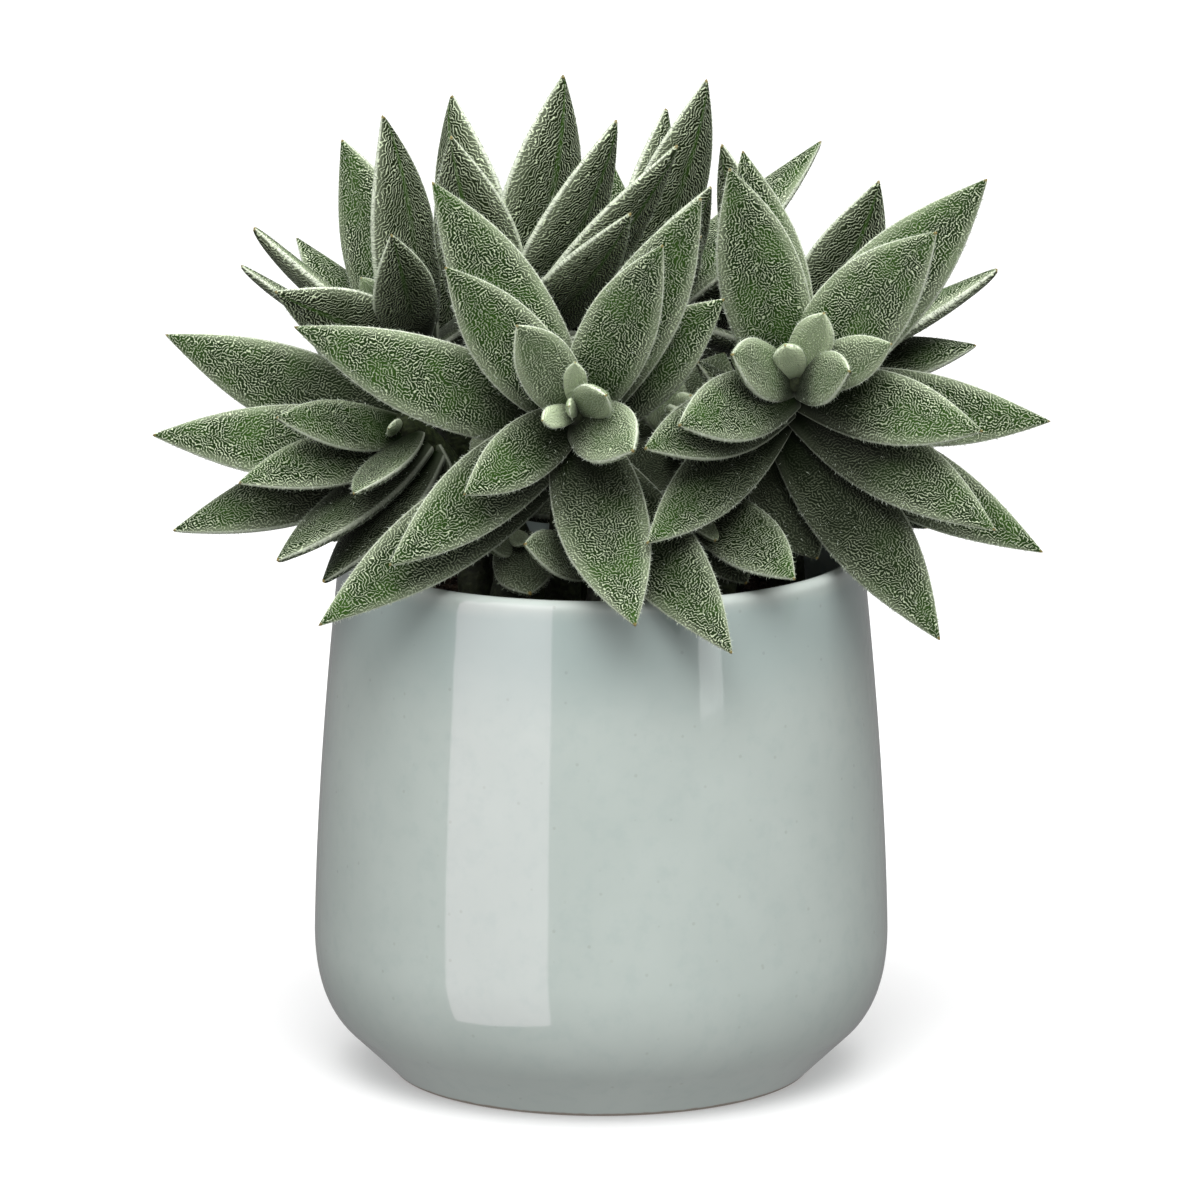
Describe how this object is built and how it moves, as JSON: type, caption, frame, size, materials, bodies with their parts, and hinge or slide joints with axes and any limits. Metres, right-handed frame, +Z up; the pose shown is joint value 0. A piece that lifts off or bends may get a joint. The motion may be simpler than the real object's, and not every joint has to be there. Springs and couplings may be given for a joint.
{
  "type": "potted crassula tenelli",
  "caption": "Potted succulent: rosette-like shoots of downy, lance-shaped grey-green leaves over a smooth tapered pale celadon ceramic pot filled with soil.",
  "frame": {"origin": "centre of the pot's flat underside, on the surface that the pot stands on", "axes": "+Z up along the pot's axis; -Y towards the side of the plant that faces the viewer; +X to the viewer's right"},
  "size_m": [0.1857, 0.1583, 0.211],
  "materials": {
    "glaze": "glossy celadon glaze",
    "soil": "loose dark potting soil",
    "leaf": "matt, downy leaf with pale hairs"
  },
  "bodies": {
    "root": {"pot": "glaze", "soil": "soil", "shoot_front_left": "leaf", "shoot_front_right": "leaf", "shoot_left": "leaf", "shoot_upper_left": "leaf", "shoot_upper": "leaf", "shoot_upper_right": "leaf", "shoot_right": "leaf", "shoot_low_left": "leaf", "shoot_low_middle": "leaf", "shoot_low_right": "leaf", "shoot_middle": "leaf", "shoot_inner_left": "leaf", "shoot_inner_right": "leaf", "shoot_rear_left": "leaf", "shoot_rear": "leaf", "shoot_rear_right": "leaf"}
  },
  "joints": []
}
